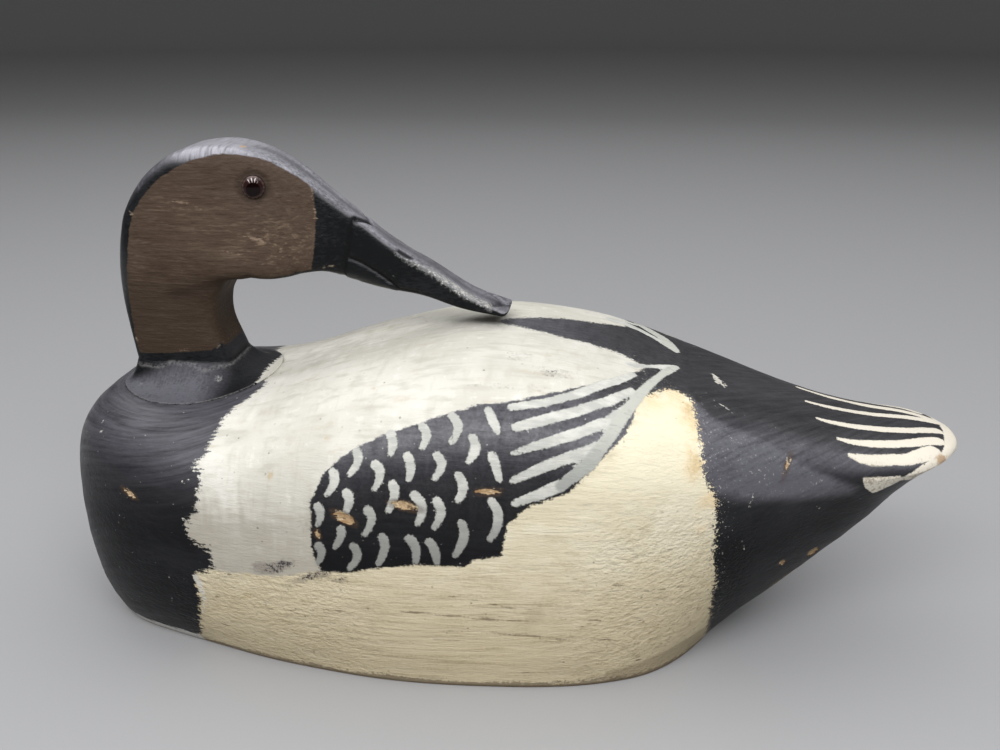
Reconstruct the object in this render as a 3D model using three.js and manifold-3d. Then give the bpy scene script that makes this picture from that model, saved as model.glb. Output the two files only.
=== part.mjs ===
// A carved and painted wooden duck decoy, head turned back so that the bill tip hovers over the back.
// Millimetres, +Z up. The tail points along +X, the breast along -X, and the origin is under the middle
// of the block on the surface that it stands on. The duck is alike on both sides of the XZ plane.
import * as THREE from 'three';
import { ParametricGeometry } from 'three/addons/geometries/ParametricGeometry.js';
import { mergeVertices } from 'three/addons/utils/BufferGeometryUtils.js';
import Module from 'manifold-3d';

const wasm = await Module();
wasm.setup();

// Body block
const BODY_LENGTH = 400;
const HALF_LENGTH = BODY_LENGTH / 2;
// Each curve is drawn through [x, size] points.
const CREST_HEIGHT = [
  [-200, 127], [-155, 116], [-110, 116], [-60, 131], [-10, 142],
  [40, 137.5], [90, 123.5], [130, 110.5], [165, 103], [200, 101],
];
const HALF_WIDTH = [
  [-200, 62], [-150, 71.5], [-100, 81], [-50, 86.5], [0, 85], [50, 80.5], [100, 63], [145, 43.5], [200, 29],
];
const WIDEST_HEIGHT = [
  [-200, 66], [-100, 70.5], [0, 77], [60, 85], [110, 87.5], [160, 88.5], [200, 95],
];
// The keel line runs below the sawn underside amidships, where the round hull is cut flat.
const KEEL_HEIGHT = [
  [-200, -38.5], [-150, -21.5], [-85, -44.5], [0, -72.5], [60, -48.5],
  [95, -6], [130, 22.5], [160, 51.5], [182, 80], [200, 87],
];
const BREAST_ROUNDING = { reach: 71, power: 2.6 };
const TAIL_ROUNDING = { reach: 26.5, power: 2.25 };
// How square the sections are: 2 is an ellipse and more is boxier. Below the widest line the side power shapes
// the walls and the edge power the keel, which is sharp near 1 under the tail.
const BACK_POWER = { body: 3, tail: 2.4, from: 20, to: 140 };
const SIDE_POWER = { body: 2.2, tail: 1.9, from: 60, to: 150 };
const EDGE_POWER = { body: 2.05, tail: 1.1, from: 60, to: 150 };

// Seat for the head, an oval recess with a flat floor
const SEAT = { x: -143, halfLength: 36, halfWidth: 41, floor: 110 };
const GAP = 0.3;

// Head, as ribs from the neck to the bill tip. Each rib spans from the outer profile, which is nape, crown
// and bill ridge, to the inner profile, which is throat, jaw and lower bill.
const RIBS = [
  { outer: [-170.5, 123], inner: [-124.5, 123], half: 17, power: 6 },
  { outer: [-173, 138], inner: [-130, 138], half: 16.5, power: 6 },
  { outer: [-174.5, 151], inner: [-130, 149], half: 16.5, power: 6 },
  { outer: [-174, 164], inner: [-127.5, 155], half: 18, power: 6.5 },
  { outer: [-171.5, 179.5], inner: [-123, 160], half: 20, power: 7 },
  { outer: [-167, 193.5], inner: [-116, 161], half: 21.5, power: 7 },
  { outer: [-157.3, 207.3], inner: [-110.3, 161.8], half: 22, power: 7 },
  { outer: [-143, 217.4], inner: [-103, 161.8], half: 21.5, power: 7 },
  { outer: [-124.5, 220.5], inner: [-96, 162.5], half: 19.5, power: 7 },
  { outer: [-107.7, 217.3], inner: [-89.2, 164], half: 16, power: 7 },
  { outer: [-94, 210.8], inner: [-81.3, 164.3], half: 12.6, power: 6.5 },
  { outer: [-80.2, 200.2], inner: [-74.4, 162.6], half: 10, power: 6 },
  { outer: [-66, 189.3], inner: [-67.5, 160.2], half: 8.6, power: 6 },
  { outer: [-50.5, 177.1], inner: [-53.5, 156.7], half: 8.2, power: 6 },
  { outer: [-32.5, 166], inner: [-36.5, 154.2], half: 9, power: 6 },
  { outer: [-16, 155.6], inner: [-20, 149.5], half: 10.4, power: 6 },
  { outer: [-0.8, 149.2], inner: [-1.8, 147], half: 12.4, power: 6 },
];
// The bill end is blunt, rounded over this share of the last rib.
const BILL_END = { reach: 2.4, rings: 3 };

// Glass eyes, each a domed disc in a round socket, turned by some degrees towards the bill with the cheek
const EYE = { x: -107.9, z: 203.4, radius: 5, dome: 2.2, edge: 0.5, seatDepth: 2.4, turn: 14 };
const CHEEK_AT_EYE = 17.2;

// Mesh fineness
const BODY_STATIONS = 58;
const BACK_STEPS = 26;
const HULL_STEPS = 8;
const HEAD_SIDES = 28;
const STEPS_PER_RIB = 3;
const FLARE_STEPS = 6;

// Smooth curve through [place, size] points, with the slope at each point taken from its neighbours.
function along(points, place) {
  const last = points.length - 1;
  const slope = (i) => {
    const before = points[Math.max(i - 1, 0)];
    const after = points[Math.min(i + 1, last)];
    return (after[1] - before[1]) / (after[0] - before[0]);
  };
  const at = THREE.MathUtils.clamp(place, points[0][0], points[last][0]);
  let i = 0;
  while (i < last - 1 && at >= points[i + 1][0]) i += 1;
  const span = points[i + 1][0] - points[i][0];
  const t = (at - points[i][0]) / span;
  const t2 = t * t;
  const t3 = t2 * t;
  return (2 * t3 - 3 * t2 + 1) * points[i][1] + (t3 - 2 * t2 + t) * span * slope(i)
    + (3 * t2 - 2 * t3) * points[i + 1][1] + (t3 - t2) * span * slope(i + 1);
}

// 0 at the very end of the block, 1 from the reach on, along an oval arc.
function endRounding(distance, { reach, power }) {
  const left = THREE.MathUtils.clamp(1 - distance / reach, 0, 1);
  return (1 - left ** power) ** (1 / power);
}

function blendPower({ body, tail, from, to }, x) {
  return body + (tail - body) * THREE.MathUtils.smoothstep(x, from, to);
}

// The sizes of the cross-section at x.
function section(x) {
  const round = endRounding(x + HALF_LENGTH, BREAST_ROUNDING) * endRounding(HALF_LENGTH - x, TAIL_ROUNDING);
  const widest = along(WIDEST_HEIGHT, x);
  return {
    widest,
    half: along(HALF_WIDTH, x) * round,
    rise: (along(CREST_HEIGHT, x) - widest) * round,
    drop: (widest - along(KEEL_HEIGHT, x)) * round,
    backPower: blendPower(BACK_POWER, x),
    sidePower: blendPower(SIDE_POWER, x),
    edgePower: blendPower(EDGE_POWER, x),
  };
}

function powerOf(value, exponent) {
  return Math.max(value, 0) ** exponent;
}

// Height of the back at x, y.
function backHeight(x, y) {
  const s = section(x);
  const across = Math.min(Math.abs(y / s.half), 1);
  return s.widest + s.rise * (1 - across ** s.backPower) ** (1 / s.backPower);
}

// Stations lie closer together at the breast and the tail tip, where the form turns fastest.
function stationX(share) {
  return HALF_LENGTH * (0.45 * (2 * share - 1) - 0.55 * Math.cos(Math.PI * share));
}

// A point of the body: step 0 is the left bottom edge, and the steps go up the left side, over the back,
// down the right side and across the flat underside to where they began.
function bodyPoint(step, x, target) {
  const s = section(x);
  const depth = Math.min(s.widest / Math.max(s.drop, 1e-6), 1);
  const cutAngle = Math.asin(powerOf(depth, s.edgePower / 2));
  const hull = (angle, side) => target.set(
    x,
    side * s.half * powerOf(Math.cos(angle), 2 / s.sidePower),
    s.widest - s.drop * powerOf(Math.sin(angle), 2 / s.edgePower),
  );
  if (step <= HULL_STEPS) {
    hull(cutAngle * (1 - step / HULL_STEPS), 1);
  } else if (step < HULL_STEPS + BACK_STEPS) {
    const angle = Math.PI * (step - HULL_STEPS) / BACK_STEPS;
    target.set(
      x,
      Math.sign(Math.cos(angle)) * s.half * powerOf(Math.abs(Math.cos(angle)), 2 / s.backPower),
      s.widest + s.rise * powerOf(Math.sin(angle), 2 / s.backPower),
    );
  } else if (step <= 2 * HULL_STEPS + BACK_STEPS) {
    hull(cutAngle * (step - HULL_STEPS - BACK_STEPS) / HULL_STEPS, -1);
  } else {
    hull(cutAngle, 1);
  }
}

// Closed body from a geometry: vertices at the same place become one, and empty triangles are dropped.
function toSolid(geometry) {
  const bare = geometry.toNonIndexed();
  bare.deleteAttribute('normal');
  bare.deleteAttribute('uv');
  const merged = mergeVertices(bare, 1e-4);
  const index = merged.index.array;
  const kept = [];
  for (let i = 0; i < index.length; i += 3) {
    const [a, b, c] = [index[i], index[i + 1], index[i + 2]];
    if (a !== b && b !== c && c !== a) kept.push(a, b, c);
  }
  const mesh = new wasm.Mesh({
    numProp: 3,
    vertProperties: new Float32Array(merged.attributes.position.array),
    triVerts: new Uint32Array(kept),
  });
  return new wasm.Manifold(mesh);
}

function toGeometry(solid) {
  const mesh = solid.getMesh();
  const geometry = new THREE.BufferGeometry();
  geometry.setAttribute('position', new THREE.BufferAttribute(mesh.vertProperties, 3));
  geometry.setIndex(new THREE.BufferAttribute(mesh.triVerts, 1));
  geometry.computeVertexNormals();
  return geometry;
}

// Closed surface of rings: place(step, ring, target) gives each point, and ends that are one point close it.
function ringSurface(place, steps, rings) {
  const surface = (u, v, target) => place(Math.round(u * steps), Math.round(v * rings), target);
  return toSolid(new ParametricGeometry(surface, steps, rings));
}

function makeBlock() {
  const steps = 2 * HULL_STEPS + BACK_STEPS + 1;
  return ringSurface((step, ring, target) => {
    bodyPoint(step, stationX(ring / BODY_STATIONS), target);
  }, steps, BODY_STATIONS);
}

function makeSeatCut() {
  const cutHeight = 40;
  const cut = new THREE.CylinderGeometry(1, 1, cutHeight, 48);
  cut.rotateX(Math.PI / 2);
  cut.scale(SEAT.halfLength, SEAT.halfWidth, 1);
  cut.translate(SEAT.x, 0, SEAT.floor + cutHeight / 2);
  return toSolid(cut);
}

// Point of a rib: angle 0 is on the outer profile, and the angle turns towards the left side.
function ribPoint(place, angle, shrink, target) {
  const column = (pick) => along(RIBS.map((rib, i) => [i, pick(rib)]), place);
  const outer = [column((rib) => rib.outer[0]), column((rib) => rib.outer[1])];
  const inner = [column((rib) => rib.inner[0]), column((rib) => rib.inner[1])];
  const exponent = 2 / column((rib) => rib.power);
  const reach = shrink * Math.sign(Math.cos(angle)) * powerOf(Math.abs(Math.cos(angle)), exponent);
  const side = shrink * Math.sign(Math.sin(angle)) * powerOf(Math.abs(Math.sin(angle)), exponent);
  target.set(
    (outer[0] + inner[0]) / 2 + reach * (outer[0] - inner[0]) / 2,
    side * column((rib) => rib.half),
    (outer[1] + inner[1]) / 2 + reach * (outer[1] - inner[1]) / 2,
  );
}

// The foot: its flat base in the seat, its rim flush with the back, then a hollow flare up to the neck.
function footPoint(rise, angle, target) {
  ribPoint(0, angle, 1, target);
  const rimX = SEAT.x - (SEAT.halfLength - GAP) * Math.cos(angle);
  const rimY = (SEAT.halfWidth - GAP) * Math.sin(angle);
  const inward = Math.sin(rise * Math.PI / 2);
  const upward = 1 - Math.cos(rise * Math.PI / 2);
  const rimZ = Math.max(backHeight(rimX, rimY), SEAT.floor + 1);
  target.set(
    THREE.MathUtils.lerp(rimX, target.x, inward),
    THREE.MathUtils.lerp(rimY, target.y, inward),
    THREE.MathUtils.lerp(rimZ, target.z, upward),
  );
}

function makeHeadAndFoot() {
  const firstRib = 2 + FLARE_STEPS;
  const lastRib = firstRib + STEPS_PER_RIB * (RIBS.length - 1);
  const rings = lastRib + BILL_END.rings;
  return ringSurface((step, ring, target) => {
    const angle = -2 * Math.PI * (step % HEAD_SIDES) / HEAD_SIDES;
    if (ring === 0) {
      target.set(SEAT.x, 0, SEAT.floor + GAP);
    } else if (ring === 1) {
      footPoint(0, angle, target);
      target.z = SEAT.floor + GAP;
    } else if (ring < firstRib) {
      footPoint((ring - 2) / FLARE_STEPS, angle, target);
    } else if (ring <= lastRib) {
      ribPoint((ring - firstRib) / STEPS_PER_RIB, angle, 1, target);
    } else {
      const turn = (ring - lastRib) / BILL_END.rings * Math.PI / 2;
      ribPoint(RIBS.length - 1, angle, ring === rings ? 0 : Math.cos(turn) ** 0.5, target);
      target.x += BILL_END.reach * Math.sin(turn);
    }
  }, HEAD_SIDES, rings);
}

// Sets a piece that was turned about Y into the cheek of the given side, with its base that deep in the wood.
function setInCheek(geometry, side, depth) {
  const turn = THREE.MathUtils.degToRad(EYE.turn);
  if (side < 0) geometry.rotateX(Math.PI);
  geometry.rotateZ(-side * turn);
  geometry.translate(EYE.x - depth * Math.sin(turn), side * (CHEEK_AT_EYE - depth * Math.cos(turn)), EYE.z);
}

// A disc with a domed face that looks out of the cheek of the given side.
function makeEyeSolid(side, radius, faceHeight, dome) {
  const profile = [new THREE.Vector2(0, 0), new THREE.Vector2(radius, 0), new THREE.Vector2(radius, faceHeight)];
  const domeSteps = 5;
  for (let i = 1; i <= domeSteps; i += 1) {
    const turn = i / domeSteps * Math.PI / 2;
    const across = i === domeSteps ? 0 : radius * Math.cos(turn);
    profile.push(new THREE.Vector2(across, faceHeight + dome * Math.sin(turn)));
  }
  const lathe = new THREE.LatheGeometry(profile, 20);
  setInCheek(lathe, side, EYE.seatDepth);
  return toSolid(lathe);
}

function makeSocketCut(side) {
  const depth = 12;
  const cut = new THREE.CylinderGeometry(EYE.radius + GAP, EYE.radius + GAP, depth, 20);
  setInCheek(cut, side, EYE.seatDepth + GAP - depth / 2);
  return toSolid(cut);
}

function paintedWood(name, colour, roughness) {
  return new THREE.MeshStandardMaterial({ name, color: colour, roughness, metalness: 0 });
}

const bodyPaint = paintedWood('painted body', '#d9d2c2', 0.62);
const headPaint = paintedWood('painted head', '#5f4f45', 0.6);
const eyeGlass = new THREE.MeshStandardMaterial({ name: 'eye glass', color: '#2a1512', roughness: 0.08, metalness: 0 });

const decoy = new THREE.Group();

function addPiece(name, solid, material) {
  const mesh = new THREE.Mesh(toGeometry(solid), material);
  mesh.name = name;
  decoy.add(mesh);
}

const eyeFace = EYE.seatDepth + EYE.edge;
addPiece('body', makeBlock().subtract(makeSeatCut()), bodyPaint);
addPiece('head', makeHeadAndFoot().subtract(makeSocketCut(-1)).subtract(makeSocketCut(1)), headPaint);
addPiece('right_eye', makeEyeSolid(-1, EYE.radius, eyeFace, EYE.dome), eyeGlass);
addPiece('left_eye', makeEyeSolid(1, EYE.radius, eyeFace, EYE.dome), eyeGlass.clone());

export default decoy;
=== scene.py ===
"""A carved and painted wooden duck decoy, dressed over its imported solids.

Lengths in the shape and paint functions are millimetres in the decoy's own frame: the breast points along -X, the
tail along +X, +Z is up, and the origin is under the middle of the flat underside. Paint on the body is laid out in
x and girth, where girth is the way round a cross-section from the middle of the back.
"""

import math

import bpy
import numpy as np
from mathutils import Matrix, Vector


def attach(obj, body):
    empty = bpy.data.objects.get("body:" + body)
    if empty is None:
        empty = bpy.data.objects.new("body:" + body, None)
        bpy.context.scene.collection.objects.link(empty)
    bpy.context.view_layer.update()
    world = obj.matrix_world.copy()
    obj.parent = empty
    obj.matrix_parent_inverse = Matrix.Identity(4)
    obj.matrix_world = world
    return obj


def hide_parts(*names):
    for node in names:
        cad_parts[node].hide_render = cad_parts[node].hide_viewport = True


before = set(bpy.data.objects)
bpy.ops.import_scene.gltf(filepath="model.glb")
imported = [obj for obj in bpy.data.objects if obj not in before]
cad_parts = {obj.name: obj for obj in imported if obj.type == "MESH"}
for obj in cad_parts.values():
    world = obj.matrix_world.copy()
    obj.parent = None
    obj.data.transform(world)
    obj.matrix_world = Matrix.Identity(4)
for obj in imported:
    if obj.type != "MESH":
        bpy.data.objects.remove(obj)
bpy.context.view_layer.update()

MM = 0.001

# Body block, the same named sizes as the solids
HALF_LENGTH = 200.0
CREST_HEIGHT = [
    (-200, 127), (-155, 116), (-110, 116), (-60, 131), (-10, 142),
    (40, 137.5), (90, 123.5), (130, 110.5), (165, 103), (200, 101),
]
HALF_WIDTH = [(-200, 62), (-150, 71.5), (-100, 81), (-50, 86.5), (0, 85), (50, 80.5), (100, 63), (145, 43.5), (200, 29)]
WIDEST_HEIGHT = [(-200, 66), (-100, 70.5), (0, 77), (60, 85), (110, 87.5), (160, 88.5), (200, 95)]
KEEL_HEIGHT = [
    (-200, -38.5), (-150, -21.5), (-85, -44.5), (0, -72.5), (60, -48.5),
    (95, -6), (130, 22.5), (160, 51.5), (182, 80), (200, 87),
]
BREAST_ROUNDING = (71, 2.6)
TAIL_ROUNDING = (26.5, 2.25)
BACK_POWER = (3, 2.4, 20, 140)
SIDE_POWER = (2.2, 1.9, 60, 150)
EDGE_POWER = (2.05, 1.1, 60, 150)

# Oval foot of the head, which stands on the breast
SEAT_X = -143.0
SEAT_HALF_LENGTH = 35.7
SEAT_HALF_WIDTH = 40.7

# Head ribs: outer profile x, z, inner profile x, z, half thickness, squareness
RIBS = [
    (-170.5, 123, -124.5, 123, 17, 6),
    (-173, 138, -130, 138, 16.5, 6),
    (-174.5, 151, -130, 149, 16.5, 6),
    (-174, 164, -127.5, 155, 18, 6.5),
    (-171.5, 179.5, -123, 160, 20, 7),
    (-167, 193.5, -116, 161, 21.5, 7),
    (-157.3, 207.3, -110.3, 161.8, 22, 7),
    (-143, 217.4, -103, 161.8, 21.5, 7),
    (-124.5, 220.5, -96, 162.5, 19.5, 7),
    (-107.7, 217.3, -89.2, 164, 16, 7),
    (-94, 210.8, -81.3, 164.3, 12.6, 6.5),
    (-80.2, 200.2, -74.4, 162.6, 10, 6),
    (-66, 189.3, -67.5, 160.2, 8.6, 6),
    (-50.5, 177.1, -53.5, 156.7, 8.2, 6),
    (-32.5, 166, -36.5, 154.2, 9, 6),
    (-16, 155.6, -20, 149.5, 10.4, 6),
    (-0.8, 149.2, -1.8, 147, 12.4, 6),
]
BILL_END_REACH = 2.4
BILL_CREST = 0.35

# Glass eye, turned towards the bill with the cheek
EYE_X = -107.9
EYE_Z = 203.4
EYE_TURN = math.radians(14)
EYE_RADIUS = 5.0
EYE_DOME = 2.2
EYE_EDGE = 0.5
EYE_DEPTH = 2.4
PUPIL_DROP = 0.8
CHEEK_AT_EYE = 17.2

# Paint, laid out in x and girth
BREAST_EDGE = [
    (-109.5, 0), (-110, 12.5), (-106.5, 25.5), (-109, 32.5), (-113, 41.5), (-117, 50), (-117.5, 60.5),
    (-119.5, 70.5), (-125.5, 76), (-120.5, 78.5), (-121, 85), (-123.5, 95), (-127.5, 100.5), (-128, 105),
    (-126.5, 109.5), (-118.5, 113), (-117.5, 124), (-127, 126), (-127.5, 143), (-131, 156), (-134.5, 170),
]
BACK_POINT = [(-4, 0), (-1.5, 4.5), (10, 9), (26.5, 14.5), (52.5, 19.5), (60, 25), (61, 38)]
FAR_BACK_POINT = [(-3, 0), (-1, 3), (13.8, 9.7), (25, 14.2), (39.7, 18), (46.6, 20.8), (52.7, 24), (54, 38)]
RUMP_EDGE = [
    (62.5, 50.5), (66, 45), (69, 41.5), (73.5, 38), (81, 40), (83, 56), (84.5, 62.5), (85.5, 75), (91.5, 83.5),
    (92, 92), (92, 112), (94, 122.5), (93.5, 136.5), (94, 157), (94, 180),
]
WING_OUTLINE = [
    (-71.5, 103), (-69.5, 99), (-66.5, 93), (-61.5, 89), (-52, 84), (-41, 81.5), (-28.5, 79), (-16, 75.5),
    (-3.5, 71.5), (7, 69.5), (15, 66.8), (28, 60.5), (40, 52.8), (50, 43.5), (59, 32), (67, 24), (75, 12.5),
    (74, 19), (66, 34), (60.5, 48), (58, 60), (56.5, 68), (51, 79), (42, 91.5), (32, 104), (18, 111.5),
    (8.5, 121), (7.5, 128), (6.5, 134.5), (-4.5, 137.5), (-8.5, 141), (-34, 139), (-47.5, 138), (-59, 138),
    (-68, 135), (-71, 130.5), (-72, 119),
]
FLANK_OUTLINE = [
    (-140, 126), (-118, 123.5), (-109, 126.5), (-95.5, 130.5), (-87, 133), (-71, 134.5), (-59, 137), (-30, 138),
    (-8, 139), (-3, 136), (4, 133), (6, 123), (18, 109), (31, 102), (42, 89), (51, 77), (55.5, 66), (59, 56),
    (63, 44), (75, 32), (110, 40), (110, 260), (-140, 260),
]
# Feather strokes of the wing: top, belly and foot of each curl
FEATHERS = [
    ((-63, 91.5), (-60, 97), (-65.5, 102.5)), ((-53.5, 85), (-50.5, 90.5), (-56, 96)),
    ((-40, 80), (-36.5, 86), (-39, 90.8)), ((-28, 79), (-23, 84.5), (-26.6, 89.8)),
    ((-16.5, 75.5), (-10.5, 82), (-15.5, 89)), ((-1, 73), (3, 78.5), (4.5, 84)),
    ((-69, 104.5), (-66, 109.5), (-69.5, 114.5)), ((-57, 101.5), (-53.5, 106), (-57.5, 111.5)),
    ((-46, 92), (-41, 97.5), (-46, 104.5)), ((-32.5, 90.6), (-28.6, 96.5), (-31.4, 102.4)),
    ((-21, 92), (-16.3, 96.8), (-21.5, 103)), ((-7, 85), (-3.2, 90), (-8.2, 97)),
    ((1.8, 91.8), (5.2, 97), (5.8, 103.4)), ((-38, 101.5), (-35, 107), (-40, 115)),
    ((-30, 106.5), (-24, 114), (-28.5, 122)), ((-20.5, 110), (-16.5, 117), (-22, 124.5)),
    ((-12, 100), (-7.5, 106), (-12, 112.5)), ((-49, 110), (-44.5, 116), (-50.6, 123.6)),
    ((-59.5, 116.6), (-57.8, 121.2), (-62.6, 126)), ((-69.6, 121.8), (-66.4, 126.8), (-70.4, 131.6)),
    ((-55.4, 125), (-51.2, 131), (-57.6, 137.4)), ((-42.9, 123), (-39.6, 129.6), (-45.2, 138)),
    ((-32, 125.5), (-27, 131.5), (-29, 139.5)), ((-23.5, 128), (-19, 134), (-20, 140)),
    ((-10.5, 119.5), (-7.5, 128), (-14, 138)), ((1, 109.5), (6.5, 119), (0, 130)),
]
# Long strokes: x, girth and half width at each point
WING_STRIPES = [
    [(8.5, 72, 1.7), (21.5, 68, 2), (34, 61, 2.3), (49.5, 46.5, 2.2), (57, 36.5, 1.6)],
    [(11, 80.5, 1.9), (22, 76, 2.3), (34, 69.5, 2.4), (46.5, 61, 2.3), (56, 50, 2.0)],
    [(10.5, 91, 1.2), (22.5, 85.5, 2.1), (34.5, 79.5, 2.2), (47, 70.5, 2.2), (54, 62, 1.9)],
    [(10.5, 102, 1.5), (23, 94.5, 2.2), (35, 88, 2.3), (43.5, 82.5, 2.2)],
    [(11.5, 111.5, 1.5), (20, 107, 2.2), (29.5, 101, 2.4)],
]
WING_BAND = [
    (29.4, 101.5, 2.1), (40.4, 89.8, 2.6), (47.5, 77.5, 2.5), (53.6, 64.5, 2.4), (59.8, 49.8, 2.2), (65.4, 36.2, 1.9),
    (69.6, 26.3, 1.9), (73, 18.8, 2.1), (75.6, 14.3, 1.4),
]
WING_TIP = [(56, 28, 2.6), (64, 23.2, 1.3), (69.5, 19.2, 1.8), (75.5, 13.7, 1.3)]
FAR_BAND_END = [(64.5, 33.5, 3.6), (69, 27, 3.2), (72.5, 20, 3), (75.2, 12, 2.6), (75.8, 9, 2)]
FAR_TIP = [(48, -31, 5), (52.7, -30.5, 4), (59.6, -26.5, 2.6), (64.2, -22, 2.1), (68.8, -17.5, 2), (72.4, -13, 2), (76, -8.5, 1.8)]
# Sliver of black that the wing band leaves open next to the flank
BAND_GAP = [(49.5, 80.5, 0.6), (53, 74, 1.2), (55.5, 69, 0.9)]
TAIL_STRIPES = [
    [(134.5, -21.3, 1.9), (148, -18.4, 2.9), (163, -16.6, 2.9), (176, -14.8, 2.5), (186, -12.2, 2.4), (194, -8, 3)],
    [(134.8, 0.5, 1.2), (145, -0.2, 2), (158, -2.2, 2.3), (173, -4.4, 2.5), (193, -6, 2.8)],
    [(137.2, 17.4, 1.1), (143, 17.3, 1.8), (151, 16.2, 2.2), (160, 14.5, 2.4), (178, 11.4, 2.5), (191, 5.6, 2.8)],
    [(144.6, 29.4, 1), (150, 29, 1.6), (158, 27.3, 2.3), (167, 25, 2.5), (176, 22.4, 2.7), (189, 16.5, 3)],
    [(148.5, 37.3, 1.2), (152.5, 37.6, 2.2), (157, 37, 2.7), (165.5, 34.7, 2.8), (174, 32.8, 2.9), (185, 26, 4)],
    [(143, -32, 1), (150, -31, 1.7), (160, -28.9, 2.2), (170, -26.2, 2.3), (180, -22.4, 2.2), (188, -17.5, 2.4)],
    [(148.5, -40, 1.2), (154, -39.4, 2.3), (165, -36, 2.6), (176, -31.6, 2.8), (186, -24.6, 3.4)],
]
TAIL_PATCH = [(153.5, 46), (161, 43.6), (170, 41), (171.5, 44), (166, 49.5), (160, 54), (155.5, 51)]
TAIL_TIP_INNER = [
    (169, 43.5), (176, 37.5), (182.5, 31.5), (188, 26), (190.8, 20.5), (192.5, 12), (194, 3), (194.2, -6),
    (193, -14), (190, -22), (184, -30), (177, -37), (170, -44),
]
# Bare wood chips: x, girth, half length, half width, turn in degrees, depth
CHIPS = [
    (-32, 112.3, 6.2, 1.7, 22, 0.8), (-57.5, 112.8, 5.8, 2.0, 40, 0.8), (1.2, 107.2, 4.9, 1.4, -4, 0.7),
    (-69, 117.6, 2.2, 1.1, 70, 0.4), (-155.5, 85.2, 4.0, 1.1, 40, 0.5), (140, 103, 4.6, 2.4, 100, 0.9),
    (125, 108.5, 2.2, 1.3, 100, 0.6), (127.5, 130.5, 9.5, 1.1, -58, 0.5),
    (121, 54, 4.4, 0.65, 105, 0.3), (20, -98, 6, 2.2, 20, 0.8), (-90, -70, 4.5, 1.5, -30, 0.4),
    (118, -60, 5, 1.4, 60, 0.5), (-48, -120, 5, 2, 35, 0.7), (60, -150, 7, 2, -10, 0.6), (-150, -95, 4, 1.6, 60, 0.5),
]
# Thin scratches and nicks that show pale through the black
NICKS = [
    [(91.5, 6, 0.8), (93.5, 11, 1.7), (95, 15.5, 1.2), (97, 19.5, 0.4)], [(94, 9, 0.3), (97, 14, 0.9), (97.5, 17, 0.3)], [(91.5, 8, 0.3), (93, 15, 1.2), (94, 19, 0.3)], [(120.4, 49, 0.5), (121.6, 57, 0.6)],
    [(107.5, 72, 0.4), (105.5, 80, 0.7)], [(91, 34.5, 0.5), (95, 36, 0.8), (99.5, 40, 0.4)],
    [(-174.5, 46.5, 0.8), (-174.3, 47.5, 0.6)], [(-174, 52, 0.7), (-173, 52.5, 0.6)], [(-178, 52, 0.6), (-178, 53, 0.6)],
    [(-143.5, 52.5, 0.6), (-142.8, 53, 0.5)], [(-155.5, 51, 0.6), (-155, 51.8, 0.5)], [(-129, 82.5, 0.9), (-126, 82, 0.5)],
    [(-129.5, 99, 0.9), (-127.5, 99.6, 0.6)], [(-131.5, 95.5, 0.6), (-131, 96, 0.6)], [(128, 88, 0.7), (128.6, 89, 0.5)],
    [(134, 66, 0.6), (138, 69, 0.5)], [(104, 96, 0.5), (106, 104, 0.5)],
    [(84, -30, 0.6), (92, -37, 0.6)], [(-170, -60, 0.7), (-166, -61, 0.6)], [(120, -88, 0.6), (124, -80, 0.6)],
    [(-136, -76, 0.8), (-133, -75, 0.5)], [(-127, 127.5, 1.8), (-125.6, 132, 1.7), (-125, 141, 1.2), (-129, 152, 0.6)],
]
# Dark lines of grain that show through the cream
GRAIN_LINES = [
    [(-52, 157, 0.1), (-20, 164.5, 0.5), (6, 167, 0.5), (30, 163.5, 0.1)], [(30, 162, 0.3), (47, 159.7, 0.4)],
    [(-24, 173, 0.1), (5, 173.6, 0.5), (30, 173.3, 0.6), (58, 168, 0.1)], [(-53, 156.3, 0.3), (-44, 159, 0.3)],
    [(-16, 155, 0.1), (14, 160.5, 0.4), (36, 152, 0.1)], [(-95, 150, 0.1), (-70, 154, 0.3), (-50, 160, 0.1)],
    [(50, 140, 0.1), (66, 138, 0.4), (80, 131, 0.1)], [(0, -150, 0.3), (50, -156, 0.5), (75, -150, 0.1)],
    [(-80, -160, 0.1), (-40, -166, 0.5), (0, -168, 0.2)],
]
# Dirt on the pale paint: x, girth, spread along, spread across, strength
SMUDGES = [
    (-88, 128, 10, 3.4, 1.4), (-72, 136.5, 12, 2.4, 1.35), (-84, 141, 5, 2.5, 0.8), (-112, 128, 5, 3, 0.7),
    (-95, 146, 5, 4, 0.6), (-97, 125, 3.5, 2, 1.0), (-60, 141, 6, 2, 0.9), (-2, 62, 16, 2.4, 0.6), (20, 62, 10, 3, 0.45), (24, 50, 13, 5, 0.75), (8, 40, 10, 6, 0.6),
    (-55, 60, 14, 7, 0.2), (-95, 95, 14, 10, 0.2), (-76, 113, 4, 5, 0.5), (58, 150, 26, 8, 0.25),
    (-10, 160, 40, 8, 0.2), (78, 120, 8, 14, 0.3), (40, -60, 18, 8, 0.5), (-60, -110, 16, 9, 0.5),
    (15, 20, 10, 5, 0.25), (-100, 45, 8, 10, 0.25), (-20, -50, 12, 8, 0.3), (-72, 106, 3, 14, 0.35),
]
# Tan spots on the pale paint, the same way
TAN_SPOTS = [
    (-89, 87, 1.3, 2.8, 1.0), (-80, 84, 2, 1.5, 0.5), (-66, 78, 2, 1.6, 0.8), (-50, 56, 2, 1.4, 0.7),
    (-35.5, 68, 2.2, 1.6, 0.6), (189, 29, 3, 4, 1.2), (-104, 140, 5, 3, 0.6), (66, 47, 5, 3, 0.7),
    (80, 48, 4, 8, 0.7), (83, 72, 5, 12, 0.6), (-30, -70, 3, 2, 0.8), (60, -110, 5, 4, 0.7), (-20, 168, 30, 3, 0.35),
]
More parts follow.
